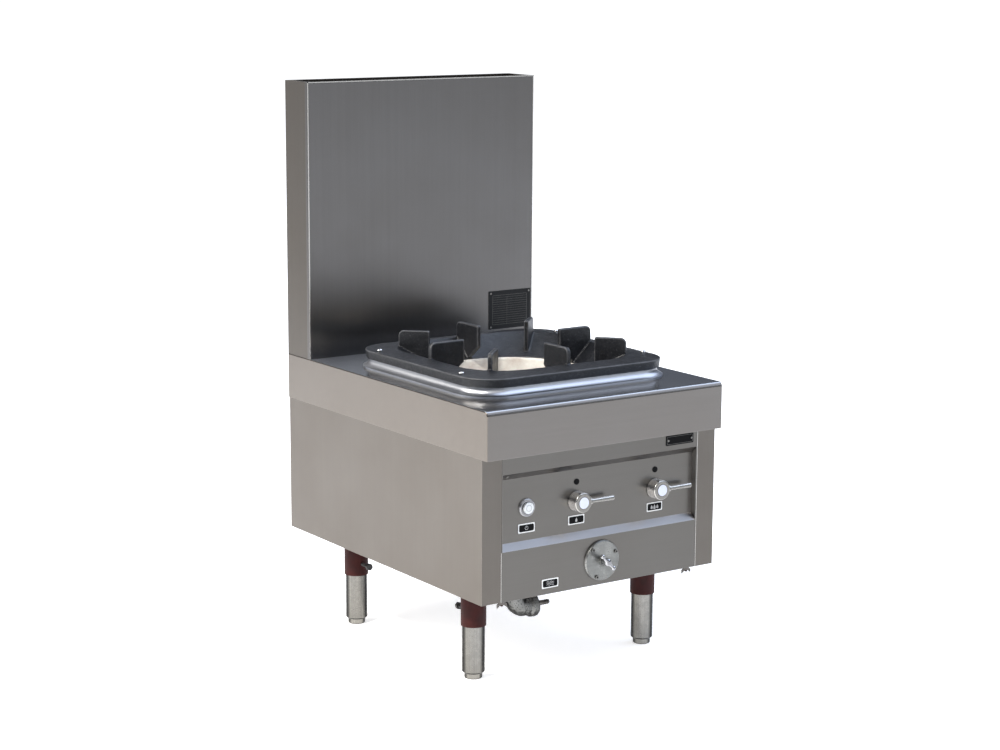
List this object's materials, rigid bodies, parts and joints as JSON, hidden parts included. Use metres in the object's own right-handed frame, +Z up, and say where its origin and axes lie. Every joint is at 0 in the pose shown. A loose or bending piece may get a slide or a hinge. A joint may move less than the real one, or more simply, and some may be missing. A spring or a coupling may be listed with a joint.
{
  "type": "wok range",
  "caption": "Free-standing gas wok range on pipe legs: square cast-iron burner top with upright fins, recessed lever controls and a tall rear flue splash.",
  "frame": {"origin": "on the floor, under the centre of the whole range's box (half its width, and half its depth from the air valve handle to the back)", "axes": "+Z up, the controls and the worktop's apron face -Y, the splash stands at +Y, +X to the right of someone who faces the controls from the front"},
  "size_m": [0.6, 0.8094, 1.21],
  "materials": {
    "stainless": "brushed, warm grey",
    "stainless_bright": "pressed and polished",
    "inner_sheet": "mill finish",
    "cast_iron": "black, rough sand-cast",
    "refractory": "dry, chalky ceramic",
    "burner_iron": "heat-stained",
    "chrome": "polished",
    "knob_metal": "turned, satin",
    "white_plastic": "gloss",
    "black_plastic": "matt",
    "label": "white rim round a black field",
    "plate": "satin black",
    "primer": "red-brown primer",
    "leg_steel": "bright drawn tube",
    "black_bolt": "blackened",
    "galvanised": "mottled zinc",
    "gas_brass": "plain",
    "gas_steel": "black pipe",
    "motor_paint": "satin"
  },
  "bodies": {
    "range_body": {"air_pipe": "inner_sheet", "air_valve_body": "chrome", "base_frame": "primer", "blower_housing": "inner_sheet", "blower_motor": "motor_paint", "burner_head": "burner_iron", "button_bezel": "chrome", "cast_iron_top": "cast_iron", "chamber_shell": "inner_sheet", "data_plate": "plate", "drip_ring": "stainless_bright", "floor_pan": "inner_sheet", "flue_duct": "inner_sheet", "front_panel": "stainless", "gas_elbow": "galvanised", "gas_manifold": "gas_steel", "hose_nipple": "gas_steel", "index_plugs": "black_plastic", "label_plates": "label", "left_side_panel": "stainless", "leg_bolts": "black_bolt", "leg_sockets": "primer", "leg_tube_front_left": "leg_steel", "leg_tube_front_right": "leg_steel", "leg_tube_rear_left": "leg_steel", "leg_tube_rear_right": "leg_steel", "main_gas_pipe": "gas_steel", "main_valve": "gas_brass", "name_plate": "plate", "panel_screws": "chrome", "pilot_burner": "gas_brass", "pilot_pipe": "gas_brass", "pilot_valve": "gas_brass", "plate_rivets": "chrome", "rear_panel": "stainless", "refractory_ring": "refractory", "right_side_panel": "stainless", "splash_front": "stainless", "splash_shell": "stainless", "top_screws": "chrome", "worktop": "stainless"},
    "pilot_tap": {"pilot_knob": "knob_metal", "pilot_lever": "chrome", "pilot_cap": "white_plastic", "pilot_spindle": "gas_brass"},
    "main_tap": {"main_knob": "knob_metal", "main_lever": "chrome", "main_cap": "white_plastic", "main_spindle": "gas_brass"},
    "push_button": {"power_button": "white_plastic"},
    "air_handle_set": {"air_handle": "chrome", "air_spindle": "chrome", "air_shutter": "inner_sheet"},
    "nut_left": {"wing_nut_left": "chrome"},
    "nut_right": {"wing_nut_right": "chrome"},
    "impeller": {"blower_impeller": "inner_sheet"},
    "levelling_foot_front_left": {"foot_front_left": "leg_steel"},
    "levelling_foot_front_right": {"foot_front_right": "leg_steel"},
    "levelling_foot_rear_left": {"foot_rear_left": "leg_steel"},
    "levelling_foot_rear_right": {"foot_rear_right": "leg_steel"}
  },
  "joints": [
    {"name": "pilot_tap_turn", "type": "hinge", "parent": "range_body", "child": "pilot_tap", "pos_m": [-0.056, -0.37, 0.383], "axis": [0, -1, 0], "range_deg": [0, 90]},
    {"name": "main_tap_turn", "type": "hinge", "parent": "range_body", "child": "main_tap", "pos_m": [0.148, -0.37, 0.383], "axis": [0, -1, 0], "range_deg": [0, 90]},
    {"name": "power_button_press", "type": "slide", "parent": "range_body", "child": "push_button", "axis": [0, 1, 0], "range_m": [0, 0.003], "stiffness_N_per_m": 600, "springref_m": -0.001},
    {"name": "air_valve_turn", "type": "hinge", "parent": "range_body", "child": "air_handle_set", "pos_m": [0, -0.37, 0.252], "axis": [0, -1, 0], "range_deg": [0, 90]},
    {"name": "wing_nut_left_turn", "type": "hinge", "parent": "range_body", "child": "nut_left", "pos_m": [-0.239, -0.36025, 0.195], "axis": [0, 0, 1], "continuous": true},
    {"name": "wing_nut_right_turn", "type": "hinge", "parent": "range_body", "child": "nut_right", "pos_m": [0.239, -0.36025, 0.195], "axis": [0, 0, 1], "continuous": true},
    {"name": "impeller_spin", "type": "hinge", "parent": "range_body", "child": "impeller", "pos_m": [0.15, -0.3, 0.292], "axis": [0, -1, 0], "continuous": true},
    {"name": "foot_front_left_slide", "type": "slide", "parent": "range_body", "child": "levelling_foot_front_left", "axis": [0, 0, 1], "range_m": [-0.025, 0]},
    {"name": "foot_front_right_slide", "type": "slide", "parent": "range_body", "child": "levelling_foot_front_right", "axis": [0, 0, 1], "range_m": [-0.025, 0]},
    {"name": "foot_rear_left_slide", "type": "slide", "parent": "range_body", "child": "levelling_foot_rear_left", "axis": [0, 0, 1], "range_m": [-0.025, 0]},
    {"name": "foot_rear_right_slide", "type": "slide", "parent": "range_body", "child": "levelling_foot_rear_right", "axis": [0, 0, 1], "range_m": [-0.025, 0]}
  ]
}
